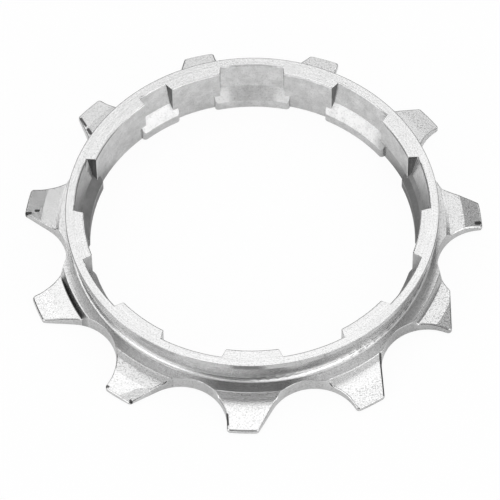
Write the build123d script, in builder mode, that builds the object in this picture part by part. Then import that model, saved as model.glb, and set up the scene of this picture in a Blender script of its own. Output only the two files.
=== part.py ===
from build123d import *

import os
from math import cos, hypot, pi, radians, sin, sqrt, tan

# Smallest sprocket of a bicycle cassette, with its spacer collar, turned and
# broached from one steel blank. It lies on its toothed face, z = 0, and its
# axis is Z. Angles run anticlockwise seen from above, and the middle of the
# first spline notch is at 90 degrees.

# Chain and tooth outline
chain_pitch = 12.7
tooth_count = 11
seat_radius = 4.5
seat_offset = 0.31
tooth_height = 4.25
trailing_flank_angle = 27.0
tip_corner_radius = 0.35
first_gap_angle = -107.8

# Toothed disc, seen in section
web_thickness = 1.75
shoulder_width = 0.65
step_width = 0.35
tooth_root_thickness = 1.12
bevel_width = 1.75
bevel_root_thickness = 0.98
tip_thickness = 0.6
face_chamfer = 0.15

# Teeth that help the chain climb on and off
cut_tooth = 9
cut_start_drop = 2.35
cut_end_drop = 0.17
cut_overrun = 0.04
pickup_tooth = 1
pickup_width = 1.7
pickup_length = 1.9
pickup_depth = 0.28
pickup_side = 1.35
pickup_overrun = 1.0

# Collar
overall_height = 5.25
collar_wall = 0.9
collar_taper = 0.6
rim_height = 0.6
neck_fillet = 0.25

# Splined bore
spline_count = 9
spline_major_diameter = 34.6
spline_depth = 0.93
notch_width = 6.18
notch_flare_angle = 4.9
narrow_notch = 1
narrow_notch_width = 3.05
notch_floor_taper = 0.5
notch_floor_depth = 2.75
first_notch_angle = 90.0
bore_chamfer = 0.12

# Stop tabs at the closed end of the notches
tab_projection = 0.42
tab_thickness = 1.0
tab_overhang = 0.55
tab_corner_radius = 0.35
tab_seat = 0.15

# Derived radii
tooth_angle = 360.0 / tooth_count
pitch_radius = chain_pitch / (2 * sin(pi / tooth_count))
seat_centre_radius = pitch_radius + seat_offset
root_radius = seat_centre_radius - seat_radius
tip_radius = root_radius + tooth_height
shoulder_radius = root_radius + shoulder_width
step_radius = shoulder_radius + step_width
bevel_radius = tip_radius - bevel_width
notch_radius = spline_major_diameter / 2
land_radius = notch_radius - spline_depth
tab_radius = land_radius - tab_projection
rim_radius = notch_radius + collar_wall
neck_radius = rim_radius - collar_taper
hub_radius = neck_radius + neck_fillet

# Derived levels
taper_top = overall_height - rim_height
notch_floor_end = overall_height - notch_floor_depth
floor_end_radius = notch_radius - notch_floor_taper
overshoot = 1.0


def tooth_middle(index):
    """Direction of the middle between the two chain seats beside a tooth."""
    return first_gap_angle + tooth_angle * (0.5 - index)


def relief_points():
    """Straight trailing flank and the space beyond it, x out along a gap."""
    lean = radians(trailing_flank_angle + tooth_angle / 2)
    start_x = seat_centre_radius - seat_radius * sin(lean)
    start_y = -seat_radius * cos(lean)
    reach = tooth_height + seat_radius
    return [
        (start_x, start_y),
        (start_x + reach * cos(lean), start_y - reach * sin(lean)),
        (seat_centre_radius + reach, 0),
        (seat_centre_radius, 0),
    ]


def leading_side(x):
    """Half width of a tooth on its clockwise side, x out along the tooth."""
    half = radians(tooth_angle / 2)
    rise = x - seat_centre_radius * cos(half)
    return seat_centre_radius * sin(half) - sqrt(seat_radius**2 - rise**2)


def trailing_side(x):
    """Half width of a tooth on the straight part of its other side."""
    half = radians(tooth_angle / 2)
    lean = radians(trailing_flank_angle)
    start_x = seat_centre_radius * cos(half) - seat_radius * sin(lean)
    start_y = seat_centre_radius * sin(half) - seat_radius * cos(lean)
    return start_y - (x - start_x) * tan(lean)


def cut_points():
    """Slanting cut across a tip, x out along the tooth, y anticlockwise."""
    outside = tip_radius + tooth_height
    start_x = tip_radius - cut_start_drop
    start_y = trailing_side(start_x) + cut_overrun
    end_x = tip_radius - cut_end_drop
    end_y = -leading_side(end_x) - cut_overrun
    return [
        (start_x, start_y),
        (end_x, end_y),
        (outside, end_y),
        (outside, 2 * start_y),
        (start_x, 2 * start_y),
    ]


def is_at_tip(edge):
    middle = edge.center()
    return hypot(middle.X, middle.Y) > tip_radius - tip_corner_radius


def is_at_tab(corner):
    return hypot(corner.X, corner.Y) < tab_radius + tab_projection / 4


def pickup_plane():
    """Plane sloping down over a tip's anticlockwise corner."""
    middle = tooth_middle(pickup_tooth)
    corner = Vector(tip_radius, pickup_side, tip_thickness - pickup_depth)
    inward = Vector(tip_radius - pickup_length, pickup_side, bevel_root_thickness)
    across = Vector(tip_radius, pickup_side - pickup_width, tip_thickness)
    normal = (across - corner).cross(inward - corner)
    if normal.Z < 0:
        normal = normal * -1
    tilted = Plane(origin=corner, x_dir=inward - corner, z_dir=normal)
    turn = Location((0, 0, 0), (0, 0, middle))
    return Plane(turn * tilted.location)


def ledge_points():
    """Section of the space above the notch floors and the ledges."""
    slope = (notch_floor_end - tab_thickness) / (floor_end_radius - tab_radius)
    draft = notch_floor_taper / notch_floor_depth
    mouth_radius = notch_radius - draft * bore_chamfer
    return [
        (tab_radius - overshoot, tab_thickness - slope * overshoot),
        (floor_end_radius, notch_floor_end),
        (mouth_radius, overall_height - bore_chamfer),
        (mouth_radius + bore_chamfer + overshoot, overall_height + overshoot),
        (tab_radius - overshoot, overall_height + overshoot),
    ]


def notch_points(left, right, inner, outer):
    """Plan of a notch, x outwards, whose flanks open towards the bore."""
    flare = tan(radians(notch_flare_angle))
    inner_flare = (notch_radius - inner) * flare
    outer_flare = (notch_radius - outer) * flare
    return [
        (inner, -right - inner_flare),
        (outer, -right - outer_flare),
        (outer, left + outer_flare),
        (inner, left + inner_flare),
    ]


def notch_sides(index):
    """Reach of a notch's floor to the left and right of its regular middle."""
    if index == narrow_notch:
        return narrow_notch_width - notch_width / 2, notch_width / 2
    return notch_width / 2, notch_width / 2


def notch_angle(index):
    return first_notch_angle + index * 360.0 / spline_count


# Outline of the teeth, with a chain seat between each two
with BuildPart() as crown:
    with BuildSketch():
        Circle(tip_radius)
        with PolarLocations(seat_centre_radius, tooth_count, first_gap_angle):
            Circle(seat_radius, mode=Mode.SUBTRACT)
        with PolarLocations(0, tooth_count, first_gap_angle):
            Polygon(*relief_points(), align=None, mode=Mode.SUBTRACT)
        with PolarLocations(0, 1, tooth_middle(cut_tooth)):
            Polygon(*cut_points(), align=None, mode=Mode.SUBTRACT)
    extrude(amount=web_thickness)
    tip_edges = crown.edges().filter_by(Axis.Z).filter_by(is_at_tip)
    fillet(tip_edges, tip_corner_radius)

# Toothed disc, thinned in steps towards the tips
with BuildPart() as disc:
    with BuildSketch(Plane.XZ):
        with BuildLine():
            Polyline(
                (land_radius, 0),
                (tip_radius, 0),
                (tip_radius, tip_thickness),
                (bevel_radius, bevel_root_thickness),
                (step_radius, tooth_root_thickness),
                (shoulder_radius, web_thickness),
                (land_radius, web_thickness),
                close=True,
            )
        make_face()
    revolve(axis=Axis.Z)
    add(crown.part, mode=Mode.INTERSECT)
    bottom_face = disc.faces().sort_by(Axis.Z)[0]
    chamfer(bottom_face.outer_wire().edges(), face_chamfer)

    # Small ramp on the corner of one tooth, short of the step
    with BuildSketch(pickup_plane()):
        with Locations((pickup_overrun - pickup_length, 0)):
            Rectangle(4 * pickup_length, 4 * pickup_width)
    extrude(amount=web_thickness, mode=Mode.SUBTRACT)

# Stop tabs, one under each notch, with a sloping top
with BuildPart() as tabs:
    with BuildSketch() as tab_plan:
        for index in range(spline_count):
            left, right = notch_sides(index)
            with PolarLocations(0, 1, notch_angle(index)):
                Polygon(
                    *notch_points(
                        left + tab_overhang,
                        right + tab_overhang,
                        tab_radius - overshoot,
                        floor_end_radius,
                    ),
                    align=None,
                )
        Circle(tab_radius, mode=Mode.SUBTRACT)
        Circle(land_radius + tab_seat, mode=Mode.INTERSECT)
        fillet(tab_plan.vertices().filter_by(is_at_tab), tab_corner_radius)
    extrude(amount=notch_floor_end)
    with BuildSketch(Plane.XZ):
        Polygon(*ledge_points(), align=None)
    revolve(axis=Axis.Z, mode=Mode.SUBTRACT)

# Blind notches, their floors drawn in towards the closed end
with BuildPart() as notches:
    with BuildSketch(Plane.XZ):
        Polygon(*ledge_points(), align=None)
    revolve(axis=Axis.Z)
    with BuildSketch():
        for index in range(spline_count):
            left, right = notch_sides(index)
            with PolarLocations(0, 1, notch_angle(index)):
                Polygon(
                    *notch_points(left, right, tab_radius - overshoot, rim_radius),
                    align=None,
                )
    extrude(amount=overall_height + 2 * overshoot, mode=Mode.INTERSECT)

# Whole cog: collar and hub turned in one with the disc, then broached
with BuildPart() as cog:
    with BuildSketch(Plane.XZ):
        with BuildLine():
            Polyline(
                (neck_radius, web_thickness + neck_fillet),
                (rim_radius, taper_top),
                (rim_radius, overall_height),
                (land_radius + bore_chamfer, overall_height),
                (land_radius, overall_height - bore_chamfer),
                (land_radius, 0),
                (hub_radius, 0),
                (hub_radius, web_thickness),
            )
            RadiusArc(
                (hub_radius, web_thickness),
                (neck_radius, web_thickness + neck_fillet),
                neck_fillet,
            )
        make_face()
    revolve(axis=Axis.Z)
    add(disc.part)
    add(tabs.part)
    add(notches.part, mode=Mode.SUBTRACT)

cog.part.label = "cog"
os.makedirs("parts", exist_ok=True)
export_step(cog.part, "parts/cog.step")
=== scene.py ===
"""Studio model of a plated steel cassette cog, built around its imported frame."""

import math
from types import SimpleNamespace

import bpy
from bpy.props import FloatProperty, FloatVectorProperty, PointerProperty
from bpy.types import Operator, Panel, PropertyGroup
from mathutils import Matrix, Vector


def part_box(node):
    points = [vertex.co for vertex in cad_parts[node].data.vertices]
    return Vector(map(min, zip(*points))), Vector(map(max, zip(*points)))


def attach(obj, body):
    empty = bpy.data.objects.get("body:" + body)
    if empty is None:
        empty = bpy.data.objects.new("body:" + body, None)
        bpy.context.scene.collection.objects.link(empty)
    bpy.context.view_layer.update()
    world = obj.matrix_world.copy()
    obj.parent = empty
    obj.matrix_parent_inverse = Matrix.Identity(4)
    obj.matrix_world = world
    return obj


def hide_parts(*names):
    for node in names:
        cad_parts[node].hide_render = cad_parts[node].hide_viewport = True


bl_info = {
    "name": "Cassette Cog Studio",
    "version": (1, 0, 0),
    "blender": (4, 5, 0),
    "location": "View3D > Sidebar > Cassette Cog",
    "description": "Finishes a plated steel cassette cog and sets up its photo studio",
    "category": "Object",
}

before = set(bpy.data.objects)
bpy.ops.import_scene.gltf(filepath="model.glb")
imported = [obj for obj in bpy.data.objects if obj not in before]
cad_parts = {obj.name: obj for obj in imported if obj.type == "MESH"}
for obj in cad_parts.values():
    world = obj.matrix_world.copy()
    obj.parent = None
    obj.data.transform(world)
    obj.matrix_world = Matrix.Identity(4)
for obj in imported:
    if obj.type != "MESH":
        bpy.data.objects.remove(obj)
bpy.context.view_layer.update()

MM = 0.001
COG_NODE = "cog"

LOW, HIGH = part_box(COG_NODE)

# Radii of the shoulder below the collar and of the bevels on the tips, and the
# fillet between the collar and the toothed disc
SHOULDER_RADIUS = 18.9 * MM
BEVEL_RADIUS = 20.6 * MM
NECK_RADII = (17.5 * MM, 17.9 * MM)
NECK_HEIGHTS = (1.7 * MM, 2.05 * MM)

# The lower edges of the teeth end below this height, and an edge that gains no
# more than this radius runs around the axis
LOWER_EDGE_TOP = 0.3 * MM
CIRCLE_TOLERANCE = 0.02 * MM

# Vertices that lie closer than the first length are one, and places are
# compared in units of the second
MERGE_DISTANCE = 0.001 * MM
PLACE_UNIT = 0.0001 * MM

# Surfaces that meet at less than SMOOTH_LIMIT are one smooth surface, and outer
# edges sharper than BEVEL_LIMIT are broken. Facets are joined where they lie
# within PLANE_LIMIT, and on the teeth within FLAT_LIMIT
SMOOTH_LIMIT = math.radians(3)
BEVEL_LIMIT = math.radians(25)
PLANE_LIMIT = math.radians(0.005)
FLAT_LIMIT = math.radians(1)
BEVEL_SEGMENTS = 3

# Radii and heights in millimetres where the zones of the steel start and end.
# Each fades in between its two values
RING_TOP = (5.18, 5.22)
RING_EDGE_TOP = (5.1, 5.15)
RING_OUTSIDE = (18.1, 18.15)
BORE_END = (17.35, 17.45)
NOTCH_START = (16.3, 16.4)
NOTCH_FLOOR_START = (16.7, 16.8)
LEDGE_BOTTOM = (1.02, 1.1)
NECK_START = (17.5, 17.58)
NECK_END = (17.85, 17.95)
NECK_TOP = (2.0, 2.05)
TEETH_START = (18.85, 18.95)
STEP_START = (18.98, 19.05)
STEP_END = (19.38, 19.45)
BEVELS_START = (20.55, 20.65)

# Squared share of a normal that faces outwards or upwards on the flanks of the
# notches, and the share that faces upwards on the ledges
FLANK_FACING = (0.2, 0.4)
LEDGE_FACING = (0.25, 0.4)

# Ends, along x or y, of the places that the photograph shows darker than the lamps leave them,
# in millimetres from the axis or to either side of it. The steel there is darkened with
# painted shade, matched to that one view. They are matched to that one view, and may be
# reflections on the real cog
RING_EDGE_NEAR = (-12.0, -4.0)
DARK_STEP_RIGHT = (-16.0, -15.0)
DARK_STEP_NEAR = (-10.5, -9.9)
DARK_STEP_FAR = (-5.6, -5.0)
SHADED_WEB_LEFT = (11.0, 14.0)
RIGHT_TOOTH_LEFT = (13.0, 15.0)
RIGHT_TOOTH_NEAR = (-13.0, -12.0)
RIGHT_TOOTH_FAR = (-6.0, -4.0)
LEFT_TOOTH_RIGHT = (-7.0, -6.0)
LEFT_TOOTH_FAR = (-14.0, -13.0)
LEFT_NOTCH_RIGHT = (-14.5, -13.5)
LEFT_NOTCH_NEAR = (-2.0, -1.0)
RIGHT_BEVELS = (0.0, 14.0)
MIDDLE_FLANKS = (-4.0, 2.0)
BACK_FLANKS = (8.0, 12.0)
MIDDLE_LEDGE = (1.6, 2.8)
SIDE_LEDGES = (12.0, 14.0)

# The painted shade on the web reaches out to this radius and up to this height in millimetres
SHADED_WEB_END = (17.9, 19.9)
SHADED_WEB_TOP = (1.9, 2.0)

# Cycles of the streaks per millimetre of radius and of height, and around
COARSE_CYCLES = (2.2, 2.2, 0.8)
FINE_CYCLES = (8.0, 8.0, 2.5)
BROACH_CYCLES = (1.0, 0.8, 60.0)
BLOTCH_CYCLES = 0.9
STREAK_DETAIL = 4.0
GRAIN_DETAIL = 3.0
NOISE_ROUGHNESS = 0.65

# Levels of noise between which pits and lines fade in
PIT_LEVELS = (0.45, 0.75)
LINE_LEVELS = (0.35, 0.65)

# Depths of the textures in millimetres
COARSE_DEPTH = 0.004
FINE_DEPTH = 0.006
BROACH_DEPTH = 0.004
PIT_DEPTH = 0.003
TOOTH_PIT_DEPTH = 0.004
LEDGE_PIT_DEPTH = 0.02

# Small dark marks that the photograph shows on the side tips, on a back tooth
# and on the front ones: the two ends of each, x and y, and its reach in
# millimetres
DARK_MARKS = (
    (-22.3, 2.75, -21.9, 2.72, 0.18),
    (-21.3, 2.95, -21.1, 2.9, 0.16),
    (22.3, 1.25, 22.0, 1.15, 0.22),
    (-17.11, 14.15, -16.6, 13.1, 0.13),
    (-16.35, 12.6, -16.11, 12.09, 0.18),
    (12.25, -14.6, 12.6, -18.6, 0.12),
    (-2.44, -20.9, -2.39, -21.9, 0.12),
    (-14.04, -17.4, -13.87, -17.5, 0.13),
    (-11.6, -19.2, -11.75, -19.0, 0.13),
)

# Share of a streak's reach where it starts to fade and where it ends, and how
# far the pits move its outline
DARK_MARK_FADE = (0.7, 1.2)
DARK_MARK_WOBBLE = 1.2

# Shares by which the dark streaks, the turned lines and painted shade darken the steel, and by
# which pits add to the painted shade
RING_EDGE_SHADE_SHARE = 0.6
DARK_MARK_SHARE = 0.85
STEP_SHADE_SHARE = 0.8
LINE_SHARE = 0.1
FLANK_SHADE_SHARE = 0.25
MIDDLE_FLANK_SHADE_SHARE = 0.2
BACK_FLANK_SHADE_SHARE = 0.25
WEB_SHADE_SHARE = 0.3
MIDDLE_LEDGE_SHADE_SHARE = 0.3
NOTCH_SHADE_SHARE = 0.25
TOOTH_SHADE_SHARE = 0.15
PIT_SHADE_SHARE = 0.25

# Deeper speckle on the teeth, the right bevels and the turned surfaces, and shallower on the
# ring. On the right bevels the deeper pits also paint shade
TOOTH_SPECKLE = 0.4
BEVEL_PITS_AND_SHADE = 1.2
TURNED_SPECKLE = 0.7
RING_SPECKLE = 0.5

# Brightness of the blotches, and painted highlights that lighten the ledges, the neck and the
# ring. The ledges at the sides lose theirs to painted shade, less so in the pits
BLOTCH_BASE = 0.93
BLOTCH_GAIN = 0.14
BORE_BLOTCH_GAIN = 0.6
LEDGE_HIGHLIGHT = 0.5
SIDE_LEDGE_SHADE = 1.0
SIDE_LEDGE_PIT_GAIN = 0.3
NECK_HIGHLIGHT = 0.3
RING_HIGHLIGHT = 0.06

# Roughness taken off the teeth, and added to the ledges, the neck and the pits
TOOTH_POLISH = 0.04
LEDGE_ROUGHNESS = 0.35
NECK_ROUGHNESS = 0.1
PIT_ROUGHNESS = 0.08

# Softboxes: azimuth and elevation in degrees, width and height in metres, and
# radiance as a level of white
LAMP_DISTANCE = 0.7
SOFTBOXES = (
    ("top_light", 99, 73, 0.54, 0.58, 1.35),
    ("crown_light", 93, 76, 0.5, 0.34, 0.16),
    ("back_light", 91, 36, 0.52, 0.3, 1.1),
    ("back_left_light", 133, 29, 0.24, 0.24, 1.9),
    ("back_right_light", 46, 28, 0.24, 0.24, 2.2),
    ("left_tip_light", 122, 46, 0.14, 0.14, 0.35),
    ("ramp_light", -130, 79, 0.24, 0.16, 1.0),
    ("right_tip_light", 56, 51, 0.14, 0.26, 0.48),
    ("left_light", -142, 16, 0.5, 0.3, 2.4),
    ("right_light", -40, 16, 0.5, 0.3, 2.4),
    ("side_light", 4, 12, 0.28, 0.2, 0.8),
    ("left_fill", -138, 47, 0.56, 0.46, 0.9),
    ("right_fill", -38, 47, 0.6, 0.46, 1.2),
    ("front_fill", -90, 48, 0.3, 0.5, 0.45),
    ("far_left_fill", 165, 48, 0.45, 0.4, 1.0),
    ("far_right_fill", 14, 48, 0.4, 0.5, 0.8),
)
WORLD_LEVEL = 0.06

# Paper floor in metres. It glows for the camera, and less in the steel, where painted shade
# also dims it beside the middle of the bore
FLOOR_SIZE = 6.0
FLOOR_GAP = 0.02 * MM
FLOOR_COLOUR = (0.92, 0.92, 0.92, 1.0)
FLOOR_ROUGHNESS = 0.9
SEEN_GLOW = 0.94
MIRRORED_GLOW = 0.25
FAR_GLOW = 0.4
FAR_REACH = (0.03, 0.08)
GLOOM_SHARE = 0.6
GLOOM_SIDES = (0.0125, 0.015)
GLOOM_REACH = (0.017, 0.018)


class CogBodySettings(PropertyGroup):
    """Edge breaks of the machined cog."""

    tooth_edge: FloatProperty(
        name="Tooth Edge",
        description="Width of the rounding along the upper edges of the teeth",
        default=0.15 * MM,
        subtype="DISTANCE",
        unit="LENGTH",
    )
    fine_edge: FloatProperty(
        name="Fine Edge",
        description="Width of the rounding along the other outer edges",
        default=0.05 * MM,
        subtype="DISTANCE",
        unit="LENGTH",
    )


class CogSteelSettings(PropertyGroup):
    """Colour and polish of the plated steel."""

    plating: FloatVectorProperty(
        name="Plating",
        description="Colour of the bright nickel plating",
        subtype="COLOR",
        default=(0.66, 0.66, 0.66),
        min=0.0,
        max=1.0,
    )
    polish: FloatProperty(
        name="Roughness",
        description="Roughness of the turned faces",
        default=0.19,
        min=0.0,
        max=1.0,
        subtype="FACTOR",
    )
    grain: FloatProperty(
        name="Grain",
        description="Pits per millimetre",
        default=6.5,
        min=0.1,
    )
    speckle: FloatProperty(
        name="Speckle",
        description="How much darker the pits are",
        default=0.22,
        min=0.0,
        max=1.0,
        subtype="FACTOR",
    )


class CogStudioSettings(PropertyGroup):
    """Camera of the photo studio."""

    elevation: FloatProperty(
        name="Elevation",
        description="Height of the camera above the horizon",
        default=math.radians(56.022),
        subtype="ANGLE",
        unit="ROTATION",
    )
    azimuth: FloatProperty(
        name="Azimuth",
        description="Turn of the camera about the cog's axis",
        default=math.radians(0.776),
        subtype="ANGLE",
        unit="ROTATION",
    )
    roll: FloatProperty(
        name="Roll",
        description="Turn of the camera about its own line of sight",
        default=math.radians(-1.037),
        subtype="ANGLE",
        unit="ROTATION",
    )
    distance: FloatProperty(
        name="Distance",
        description="Distance of the camera from its aim point",
        default=436.5 * MM,
        subtype="DISTANCE",
        unit="LENGTH",
    )
    lens: FloatProperty(
        name="Focal Length",
        description="Focal length of the camera in millimetres",
        default=325.1,
        min=1.0,
    )
    aim_side: FloatProperty(
        name="Aim Side",
        description="Aim point to the right of the cog's axis",
        default=-0.280 * MM,
        subtype="DISTANCE",
        unit="LENGTH",
    )
    aim_near: FloatProperty(
        name="Aim Near",
        description="Aim point nearer to the camera than the cog's axis",
        default=4.881 * MM,
        subtype="DISTANCE",
        unit="LENGTH",
    )


def link(piece):
    bpy.context.scene.collection.objects.link(piece)
    return piece


class Shade:
    """An output socket that adds Math nodes where Python operators join it."""

    def __init__(self, graph, socket):
        self.graph = graph
        self.socket = socket

    def math(self, operation, *values):
        inputs = dict(enumerate(values))
        return self.graph.node("ShaderNodeMath", {"operation": operation}, inputs)

    def __add__(self, other):
        return self.math("ADD", self, other)

    __radd__ = __add__

    def __sub__(self, other):
        return self.math("SUBTRACT", self, other)

    def __rsub__(self, other):
        return self.math("SUBTRACT", other, self)

    def __mul__(self, other):
        return self.math("MULTIPLY", self, other)

    __rmul__ = __mul__

    def __truediv__(self, other):
        return self.math("DIVIDE", self, other)

    def __pow__(self, other):
        return self.math("POWER", self, other)

    def highest(self, other):
        return self.math("MAXIMUM", self, other)

    def lowest(self, other):
        return self.math("MINIMUM", self, other)

    def step(self, low, high):
        """Smooth rise from 0 at low to 1 at high."""
        settings = {"interpolation_type": "SMOOTHSTEP"}
        inputs = {"Value": self, "From Min": low, "From Max": high}
        return self.graph.node("ShaderNodeMapRange", settings, inputs)

    def fall(self, low, high):
        """Smooth fall from 1 at low to 0 at high."""
        return 1 - self.step(low, high)

    def apart(self, near, far):
        """Smooth rise on both sides of 0, from 0 at near to 1 at far."""
        return (self * self).step(near**2, far**2)


class Graph:
    """Node tree of one material or of the world."""

    def __init__(self, tree):
        self.tree = tree

    def node(self, kind, settings=None, inputs=None, output=0):
        node = self.tree.nodes.new(kind)
        for name, value in (settings or {}).items():
            setattr(node, name, value)
        for name, value in (inputs or {}).items():
            if isinstance(value, Shade):
                self.tree.links.new(value.socket, node.inputs[name])
            else:
                node.inputs[name].default_value = value
        return Shade(self, node.outputs[output])

    def split(self, vector):
        """The three components of a vector."""
        return (self.node("ShaderNodeSeparateXYZ", None, {0: vector}, axis) for axis in "XYZ")

    def feed(self, value, socket):
        self.tree.links.new(value.socket, socket)


def steel_zones(graph):
    """Place on the cog in millimetres, and masks of its machined surfaces."""
    place = graph.node("ShaderNodeTexCoord", output="Object")
    spot = graph.node(
        "ShaderNodeVectorMath", {"operation": "SCALE"}, {0: place, "Scale": 1 / MM}
    )
    x, y, z = graph.split(spot)
    radius = (x * x + y * y) ** 0.5
    across, along, upward = graph.split(graph.node("ShaderNodeTexCoord", output="Normal"))
    outward = (x * across + y * along) / radius

    ring = z.step(*RING_TOP)
    bore = radius.fall(*BORE_END) * (1 - ring)
    across_facing = (outward * outward + upward * upward).fall(*FLANK_FACING)
    neck = radius.step(*NECK_START) * radius.fall(*NECK_END) * z.fall(*NECK_TOP)
    teeth = radius.step(*TEETH_START)
    return SimpleNamespace(
        spot=spot,
        x=x,
        y=y,
        z=z,
        radius=radius,
        ring=ring,
        bore=bore,
        flanks=bore * radius.step(*NOTCH_START) * across_facing,
        ledges=bore * upward.step(*LEDGE_FACING) * z.step(*LEDGE_BOTTOM),
        neck=neck,
        teeth=teeth,
        bevels=radius.step(*BEVELS_START),
        turned=1 - teeth.highest(bore).highest(neck),
    )


def steel_textures(graph, zones, grain_scale):
    """Noises of the turning, the broaching, the pits and the plating."""

    def streaks(across_radius, across_height, around):
        """Noise drawn out along the turning, given its cycles per millimetre."""
        spot = {
            "X": zones.radius * across_radius,
            "Y": zones.z * across_height,
            "Z": zones.x / zones.radius * around,
        }
        inputs = {
            "Vector": graph.node("ShaderNodeCombineXYZ", None, spot),
            "W": zones.y / zones.radius * around,
            "Scale": 1.0,
            "Detail": STREAK_DETAIL,
            "Roughness": NOISE_ROUGHNESS,
        }
        return graph.node("ShaderNodeTexNoise", {"noise_dimensions": "4D"}, inputs)

    def grain(scale):
        inputs = {
            "Vector": zones.spot,
            "Scale": scale,
            "Detail": GRAIN_DETAIL,
            "Roughness": NOISE_ROUGHNESS,
        }
        return graph.node("ShaderNodeTexNoise", {"noise_dimensions": "3D"}, inputs)

    pits = grain(grain_scale)
    return SimpleNamespace(
        coarse=streaks(*COARSE_CYCLES),
        fine=streaks(*FINE_CYCLES),
        broached=streaks(*BROACH_CYCLES),
        pits=pits,
        specks=pits.step(*PIT_LEVELS),
        blotches=grain(BLOTCH_CYCLES),
    )


def steel_dark_mark(zones, pits, start_x, start_y, end_x, end_y, reach):
    """Dark streak between two points, its outline broken up by the pits."""
    run_x, run_y = end_x - start_x, end_y - start_y
    from_x, from_y = zones.x - start_x, zones.y - start_y
    part = ((from_x * run_x + from_y * run_y) / (run_x**2 + run_y**2)).highest(0.0).lowest(1.0)
    gap = ((from_x - part * run_x) ** 2 + (from_y - part * run_y) ** 2) ** 0.5
    return (gap / reach + (pits - 0.5) * DARK_MARK_WOBBLE).fall(*DARK_MARK_FADE)


def steel_marks_and_shade(zones, textures):
    """Brightness of the steel under its dark streaks, turned lines and painted shade, 1 where
    it has none.
    """
    x, y, z, radius = zones.x, zones.y, zones.z, zones.radius
    dark_marks = None
    for streak in DARK_MARKS:
        dark_mark = steel_dark_mark(zones, textures.pits, *streak)
        dark_marks = dark_mark if dark_marks is None else dark_marks.highest(dark_mark)

    # Painted shade on the outer edge of the ring, dark except in front, and the turned lines
    ring_edge_shade = radius.step(*RING_OUTSIDE) * z.step(*RING_EDGE_TOP)
    ring_edge_shade = ring_edge_shade * y.step(*RING_EDGE_NEAR)
    lines = zones.turned * textures.fine.step(*LINE_LEVELS)

    # Painted shade on the step of the left tooth, and on the web on the right
    step_shade = radius.step(*STEP_START) * radius.fall(*STEP_END) * x.fall(*DARK_STEP_RIGHT)
    step_shade = step_shade * y.step(*DARK_STEP_NEAR) * y.fall(*DARK_STEP_FAR)
    web_shade = radius.fall(*SHADED_WEB_END) * z.fall(*SHADED_WEB_TOP) * x.step(*SHADED_WEB_LEFT)

    # Painted shade on the front teeth on the right and on the left, and on the left notch,
    # deeper in the pits
    right_tooth_shade = x.step(*RIGHT_TOOTH_LEFT) * y.fall(*RIGHT_TOOTH_FAR)
    right_tooth_shade = right_tooth_shade * y.step(*RIGHT_TOOTH_NEAR)
    left_tooth_shade = x.fall(*LEFT_TOOTH_RIGHT) * y.fall(*LEFT_TOOTH_FAR) * (1 - zones.bevels)
    teeth_shade = zones.teeth * right_tooth_shade.highest(left_tooth_shade)
    notch_shade = zones.ledges.highest(zones.bore * radius.step(*NOTCH_FLOOR_START))
    notch_shade = notch_shade * x.fall(*LEFT_NOTCH_RIGHT) * y.step(*LEFT_NOTCH_NEAR)
    pit_shade = textures.specks * PIT_SHADE_SHARE

    # Painted shade on the flanks of the notches, darker towards the back, and on the back
    # ledge
    flank_shade = (
        FLANK_SHADE_SHARE
        + y.step(*MIDDLE_FLANKS) * MIDDLE_FLANK_SHADE_SHARE
        + y.step(*BACK_FLANKS) * BACK_FLANK_SHADE_SHARE
    )
    middle_ledge_shade = zones.ledges * (1 - x.apart(*MIDDLE_LEDGE))

    return (
        (1 - zones.flanks * flank_shade)
        * (1 - ring_edge_shade * RING_EDGE_SHADE_SHARE)
        * (1 - dark_marks * DARK_MARK_SHARE)
        * (1 - step_shade * STEP_SHADE_SHARE)
        * (1 - lines * LINE_SHARE)
        * (1 - web_shade * WEB_SHADE_SHARE)
        * (1 - notch_shade * (NOTCH_SHADE_SHARE + pit_shade))
        * (1 - middle_ledge_shade * MIDDLE_LEDGE_SHADE_SHARE)
        * (1 - teeth_shade * (TOOTH_SHADE_SHARE + pit_shade))
    )


def steel_level(zones, textures, marks_and_shade, speckle):
    """Brightness of the plating, with its pits, blotches, dark streaks and turned lines,
    painted highlights and painted shade.
    """
    specks, blotches = textures.specks, textures.blotches
    # The right bevels take deeper pits, which also paint shade on them
    right_bevels = zones.bevels * zones.x.step(*RIGHT_BEVELS)
    pitting = (
        1
        + zones.teeth * TOOTH_SPECKLE
        + right_bevels * BEVEL_PITS_AND_SHADE
        + zones.turned * (TURNED_SPECKLE - zones.ring * RING_SPECKLE)
    )
    # Painted shade takes the painted highlight off the ledges at the sides
    side_ledge_shade = zones.x.apart(*SIDE_LEDGES) * (SIDE_LEDGE_SHADE - specks * SIDE_LEDGE_PIT_GAIN)
    bore_blotches = zones.bore * (blotches - 0.5)
    return (
        (1 - specks * speckle * pitting)
        * (BLOTCH_BASE + blotches * BLOTCH_GAIN + bore_blotches * BORE_BLOTCH_GAIN)
        # Painted highlights on the ledges, the neck and the ring
        * (1 + zones.ledges * (LEDGE_HIGHLIGHT - side_ledge_shade))
        * (1 + zones.neck * NECK_HIGHLIGHT + zones.ring * RING_HIGHLIGHT)
        * marks_and_shade
    )


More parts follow.
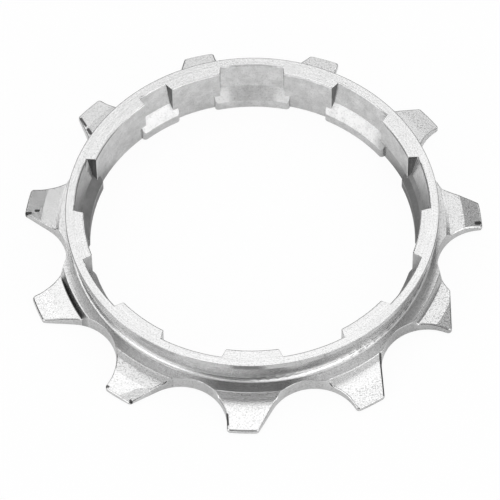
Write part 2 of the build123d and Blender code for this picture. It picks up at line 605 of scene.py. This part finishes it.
def steel_material(settings):
    steel = bpy.data.materials.new("plated_steel")
    steel.use_nodes = True
    graph = Graph(steel.node_tree)
    shader = steel.node_tree.nodes["Principled BSDF"]
    shader.inputs["Metallic"].default_value = 1.0
    zones = steel_zones(graph)
    textures = steel_textures(graph, zones, settings.grain)

    turning = textures.coarse * COARSE_DEPTH + textures.fine * FINE_DEPTH
    pit_depth = PIT_DEPTH + zones.teeth * TOOTH_PIT_DEPTH + zones.ledges * LEDGE_PIT_DEPTH
    height = (
        zones.turned * turning
        + zones.bore * textures.broached * BROACH_DEPTH
        + textures.pits * pit_depth
    )
    inputs = {"Height": height, "Distance": MM, "Strength": 1.0}
    graph.feed(graph.node("ShaderNodeBump", None, inputs), shader.inputs["Normal"])

    marks_and_shade = steel_marks_and_shade(zones, textures)
    level = steel_level(zones, textures, marks_and_shade, settings.speckle)
    red, green, blue = settings.plating
    colour = {"Red": level * red, "Green": level * green, "Blue": level * blue}
    graph.feed(
        graph.node("ShaderNodeCombineColor", None, colour), shader.inputs["Base Color"]
    )
    roughness = (
        settings.polish
        - zones.teeth * TOOTH_POLISH
        + zones.ledges * LEDGE_ROUGHNESS
        + zones.neck * NECK_ROUGHNESS
        + textures.specks * PIT_ROUGHNESS
    )
    graph.feed(roughness, shader.inputs["Roughness"])
    return steel


def place_key(point):
    """Place of a vertex in whole units, the same for vertices that meet."""
    return tuple(round(value / PLACE_UNIT) for value in point)


def surface_breaks(mesh):
    """Edges where two machined surfaces meet, by their ends, with the angle between them.

    The angle is negative in a hollow corner.
    """
    sides = {}
    normals = mesh.corner_normals
    for face in mesh.polygons:
        corners = list(face.loop_indices)
        for here, there in zip(corners, corners[1:] + corners[:1]):
            ends = {}
            for corner in (here, there):
                vertex = mesh.vertices[mesh.loops[corner].vertex_index]
                ends[place_key(vertex.co)] = normals[corner].vector.copy()
            sides.setdefault(frozenset(ends), []).append((face, ends))
    breaks = {}
    for key, pair in sides.items():
        if len(pair) == 2:
            (near_face, near_ends), (far_face, far_ends) = pair
            angle = max(near_ends[end].angle(far_ends[end], 0.0) for end in key)
            if angle > SMOOTH_LIMIT:
                is_hollow = (far_face.center - near_face.center).dot(near_face.normal) > 0
                breaks[key] = -angle if is_hollow else angle
    return breaks


def is_tooth_edge(first, second):
    """Upper edges of the teeth, outside the shoulder, but not the turned circles."""
    inner, outer = sorted((first.xy.length, second.xy.length))
    if min(first.z, second.z) < LOWER_EDGE_TOP or inner < SHOULDER_RADIUS:
        return False
    return outer > BEVEL_RADIUS or outer - inner > CIRCLE_TOLERANCE


def is_on_neck(point):
    inner, outer = NECK_RADII
    bottom, top = NECK_HEIGHTS
    return inner < point.xy.length < outer and bottom < point.z < top


def mark_edges(mesh, breaks, wide, fine):
    """Make the breaks sharp, and give the outer ones their share of the bevel."""
    weights = mesh.attributes.new("bevel_weight_edge", "FLOAT", "EDGE")
    for edge in mesh.edges:
        first, second = (mesh.vertices[index].co for index in edge.vertices)
        angle = breaks.get(frozenset((place_key(first), place_key(second))), 0.0)
        edge.use_edge_sharp = angle != 0
        if angle > BEVEL_LIMIT:
            is_wide = is_tooth_edge(first, second)
            weights.data[edge.index].value = 1.0 if is_wide else fine / wide


def join_facets(mesh):
    """Dissolve the edges inside planes, and on the teeth also inside near-planes."""
    bpy.ops.object.mode_set(mode="EDIT")
    bpy.ops.mesh.select_mode(type="FACE")
    bpy.ops.mesh.select_all(action="SELECT")
    bpy.ops.mesh.dissolve_limited(angle_limit=PLANE_LIMIT, delimit={"SHARP"})
    bpy.ops.mesh.select_all(action="DESELECT")
    bpy.ops.object.mode_set(mode="OBJECT")
    for face in mesh.polygons:
        face.select = face.center.xy.length > SHOULDER_RADIUS
    bpy.ops.object.mode_set(mode="EDIT")
    bpy.ops.mesh.dissolve_limited(angle_limit=FLAT_LIMIT, delimit={"SHARP"})
    bpy.ops.object.mode_set(mode="OBJECT")


def apply_bevel(cog, width):
    bevel = cog.modifiers.new("edges", "BEVEL")
    bevel.limit_method = "WEIGHT"
    bevel.width = width
    bevel.segments = BEVEL_SEGMENTS
    bevel.use_clamp_overlap = False
    bevel.loop_slide = False
    bpy.ops.object.modifier_apply(modifier=bevel.name)


def apply_face_normals(cog):
    """Let the large faces set the normals, except on the neck's fillet."""
    neck = cog.vertex_groups.new(name="neck")
    fillet = [vertex.index for vertex in cog.data.vertices if is_on_neck(vertex.co)]
    neck.add(fillet, 1.0, "REPLACE")
    weigh = cog.modifiers.new("normals", "WEIGHTED_NORMAL")
    weigh.keep_sharp = True
    weigh.vertex_group = neck.name
    weigh.invert_vertex_group = True
    bpy.ops.object.modifier_apply(modifier=weigh.name)
    cog.vertex_groups.clear()


class MESH_OT_cog_body(Operator):
    """Model the finished cog over its machined form, with broken edges"""

    bl_idname = "mesh.cog_body"
    bl_label = "Model Cog"
    bl_options = {"REGISTER", "UNDO"}

    def execute(self, context):
        body = context.scene.cog_body
        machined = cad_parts[COG_NODE].data
        breaks = surface_breaks(machined)
        cog = link(bpy.data.objects.new("finished_cog", machined.copy()))
        bpy.ops.object.select_all(action="DESELECT")
        cog.select_set(True)
        context.view_layer.objects.active = cog
        bpy.ops.mesh.customdata_custom_splitnormals_clear()
        bpy.ops.object.mode_set(mode="EDIT")
        bpy.ops.mesh.select_all(action="SELECT")
        bpy.ops.mesh.remove_doubles(threshold=MERGE_DISTANCE)
        bpy.ops.mesh.faces_shade_smooth()
        bpy.ops.object.mode_set(mode="OBJECT")

        mark_edges(cog.data, breaks, body.tooth_edge, body.fine_edge)
        join_facets(cog.data)
        apply_bevel(cog, body.tooth_edge)
        apply_face_normals(cog)

        cog.data.materials.clear()
        cog.data.materials.append(steel_material(context.scene.cog_steel))
        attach(cog, "root")
        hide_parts(COG_NODE)
        return {"FINISHED"}


def add_camera(studio):
    """Camera turned about the cog's axis, aimed at the level of the collar's top."""
    turn = Matrix.Rotation(studio.azimuth, 3, "Z")
    back = turn @ Vector((0.0, -math.cos(studio.elevation), math.sin(studio.elevation)))
    level_right = turn @ Vector((1.0, 0.0, 0.0))
    level_up = back.cross(level_right)
    right = math.cos(studio.roll) * level_right + math.sin(studio.roll) * level_up
    up = -math.sin(studio.roll) * level_right + math.cos(studio.roll) * level_up
    aim = turn @ Vector((studio.aim_side, -studio.aim_near, 0.0))
    aim.z = HIGH.z
    camera = link(bpy.data.objects.new("camera", bpy.data.cameras.new("camera")))
    camera.data.lens = studio.lens
    camera.data.clip_start = 0.01
    facing = Matrix((right, up, back)).transposed().to_4x4()
    camera.matrix_world = Matrix.Translation(aim + back * studio.distance) @ facing
    return camera


def floor_material():
    paint = bpy.data.materials.new("floor")
    paint.use_nodes = True
    graph = Graph(paint.node_tree)
    shader = paint.node_tree.nodes["Principled BSDF"]
    shader.inputs["Base Color"].default_value = FLOOR_COLOUR
    shader.inputs["Roughness"].default_value = FLOOR_ROUGHNESS
    lit = Shade(graph, shader.outputs[0])
    white = {"Color": (1, 1, 1, 1), "Strength": 1.0}
    black = {"Color": (0, 0, 0, 1), "Strength": 0.0}
    paper = graph.node("ShaderNodeEmission", None, white)
    gloom = graph.node("ShaderNodeEmission", None, black)

    seen = graph.node("ShaderNodeLightPath", output="Is Camera Ray")
    mirrored = graph.node("ShaderNodeLightPath", output="Is Glossy Ray")
    place = graph.node("ShaderNodeTexCoord", output="Object")
    reach = graph.node("ShaderNodeVectorMath", {"operation": "LENGTH"}, {0: place}, "Value")
    side, _, _ = graph.split(place)
    beside = side.apart(*GLOOM_SIDES) * reach.fall(*GLOOM_REACH)
    glow = seen * SEEN_GLOW + mirrored * (MIRRORED_GLOW + reach.step(*FAR_REACH) * FAR_GLOW)
    # Painted shade on the floor beside the middle of the bore, seen only in reflections in the
    # steel
    reflected_floor_shade = mirrored * beside * GLOOM_SHARE
    mixed = graph.node("ShaderNodeMixShader", None, {0: glow, 1: lit, 2: paper})
    mixed = graph.node("ShaderNodeMixShader", None, {0: reflected_floor_shade, 1: mixed, 2: gloom})
    graph.feed(mixed, paint.node_tree.nodes["Material Output"].inputs["Surface"])
    return paint


def add_softbox(name, azimuth, elevation, width, height, level):
    """Area lamp that faces the cog, with a radiance given as a level of white."""
    azimuth, elevation = math.radians(azimuth), math.radians(elevation)
    direction = Vector(
        (
            math.cos(elevation) * math.cos(azimuth),
            math.cos(elevation) * math.sin(azimuth),
            math.sin(elevation),
        )
    )
    lamp = bpy.data.lights.new(name, "AREA")
    lamp.shape = "RECTANGLE"
    lamp.size = width
    lamp.size_y = height
    lamp.energy = level * math.pi * width * height
    holder = link(bpy.data.objects.new(name, lamp))
    holder.location = direction * LAMP_DISTANCE
    holder.rotation_euler = direction.to_track_quat("Z", "Y").to_euler()


class SCENE_OT_cog_studio(Operator):
    """Set up the floor, the lamps and the camera"""

    bl_idname = "scene.cog_studio"
    bl_label = "Set Up Studio"
    bl_options = {"REGISTER", "UNDO"}

    def execute(self, context):
        context.scene.camera = add_camera(context.scene.cog_studio)

        bpy.ops.object.select_all(action="DESELECT")
        floor_place = (0, 0, LOW.z - FLOOR_GAP)
        bpy.ops.mesh.primitive_plane_add(size=FLOOR_SIZE, location=floor_place)
        floor = context.active_object
        floor.name = "floor"
        floor.data.materials.append(floor_material())

        for softbox in SOFTBOXES:
            add_softbox(*softbox)

        world = bpy.data.worlds.new("studio")
        world.use_nodes = True
        background = world.node_tree.nodes["Background"]
        background.inputs["Color"].default_value = (1, 1, 1, 1)
        background.inputs["Strength"].default_value = WORLD_LEVEL
        context.scene.world = world
        context.scene.view_settings.view_transform = "Standard"
        return {"FINISHED"}


class VIEW3D_PT_cassette_cog(Panel):
    """Sidebar panel that lists the cog's steps"""

    bl_label = "Cassette Cog"
    bl_space_type = "VIEW_3D"
    bl_region_type = "UI"
    bl_category = "Cassette Cog"

    def draw(self, context):
        layout = self.layout
        for operator in OPERATORS:
            layout.operator(operator.bl_idname)


OPERATORS = (MESH_OT_cog_body, SCENE_OT_cog_studio)
CLASSES = (
    CogBodySettings,
    CogSteelSettings,
    CogStudioSettings,
    *OPERATORS,
    VIEW3D_PT_cassette_cog,
)


def register():
    for cls in CLASSES:
        bpy.utils.register_class(cls)
    bpy.types.Scene.cog_body = PointerProperty(type=CogBodySettings)
    bpy.types.Scene.cog_steel = PointerProperty(type=CogSteelSettings)
    bpy.types.Scene.cog_studio = PointerProperty(type=CogStudioSettings)


def unregister():
    del bpy.types.Scene.cog_studio
    del bpy.types.Scene.cog_steel
    del bpy.types.Scene.cog_body
    for cls in reversed(CLASSES):
        bpy.utils.unregister_class(cls)


def main():
    register()
    bpy.ops.mesh.cog_body()
    bpy.ops.scene.cog_studio()


if __name__ == "__main__":
    main()
